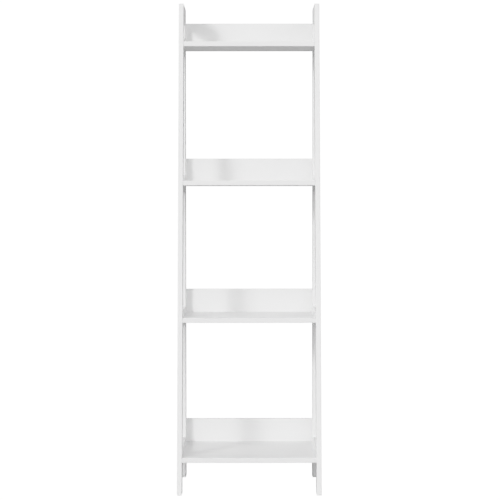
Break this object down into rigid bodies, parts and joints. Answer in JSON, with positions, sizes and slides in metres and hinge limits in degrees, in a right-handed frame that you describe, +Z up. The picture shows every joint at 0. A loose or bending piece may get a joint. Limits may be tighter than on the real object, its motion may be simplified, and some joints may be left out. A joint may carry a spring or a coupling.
{
  "type": "ladder shelf",
  "caption": "Free-standing open ladder shelf with leaning front legs, upright rear legs, stepped shelves and low back boards, in white painted board.",
  "frame": {"origin": "on the floor, at the middle of the outline's width and depth", "axes": "+Z up, the open front faces -Y, +X to the right seen from the front"},
  "size_m": [0.43, 0.325, 1.478],
  "materials": {
    "frame_paint": "smooth satin white paint on fibreboard, side frames",
    "shelf_paint": "smooth satin white paint on fibreboard, shelves and back boards",
    "screw_steel": "zinc-plated connecting screws",
    "cap_plastic": "white moulded cover caps, visual model only"
  },
  "bodies": {
    "root": {"left_front_leg": "frame_paint", "left_rear_leg": "frame_paint", "left_head_rail": "frame_paint", "left_bottom_rail": "frame_paint", "left_bottom_shelf_screw_front": "screw_steel", "left_bottom_shelf_screw_rear": "screw_steel", "left_bottom_back_screw_low": "screw_steel", "left_bottom_back_screw_high": "screw_steel", "left_lower_rail": "frame_paint", "left_lower_shelf_screw_front": "screw_steel", "left_lower_shelf_screw_rear": "screw_steel", "left_lower_back_screw_low": "screw_steel", "left_lower_back_screw_high": "screw_steel", "left_upper_rail": "frame_paint", "left_upper_shelf_screw_front": "screw_steel", "left_upper_shelf_screw_rear": "screw_steel", "left_upper_back_screw_low": "screw_steel", "left_upper_back_screw_high": "screw_steel", "left_top_rail": "frame_paint", "left_top_shelf_screw_front": "screw_steel", "left_top_shelf_screw_rear": "screw_steel", "left_top_back_screw_low": "screw_steel", "left_top_back_screw_high": "screw_steel", "right_front_leg": "frame_paint", "right_rear_leg": "frame_paint", "right_head_rail": "frame_paint", "right_bottom_rail": "frame_paint", "right_bottom_shelf_screw_front": "screw_steel", "right_bottom_shelf_screw_rear": "screw_steel", "right_bottom_back_screw_low": "screw_steel", "right_bottom_back_screw_high": "screw_steel", "right_lower_rail": "frame_paint", "right_lower_shelf_screw_front": "screw_steel", "right_lower_shelf_screw_rear": "screw_steel", "right_lower_back_screw_low": "screw_steel", "right_lower_back_screw_high": "screw_steel", "right_upper_rail": "frame_paint", "right_upper_shelf_screw_front": "screw_steel", "right_upper_shelf_screw_rear": "screw_steel", "right_upper_back_screw_low": "screw_steel", "right_upper_back_screw_high": "screw_steel", "right_top_rail": "frame_paint", "right_top_shelf_screw_front": "screw_steel", "right_top_shelf_screw_rear": "screw_steel", "right_top_back_screw_low": "screw_steel", "right_top_back_screw_high": "screw_steel", "bottom_shelf": "shelf_paint", "bottom_back_board": "shelf_paint", "lower_shelf": "shelf_paint", "lower_back_board": "shelf_paint", "upper_shelf": "shelf_paint", "upper_back_board": "shelf_paint", "top_shelf": "shelf_paint", "top_back_board": "shelf_paint"}
  },
  "joints": []
}
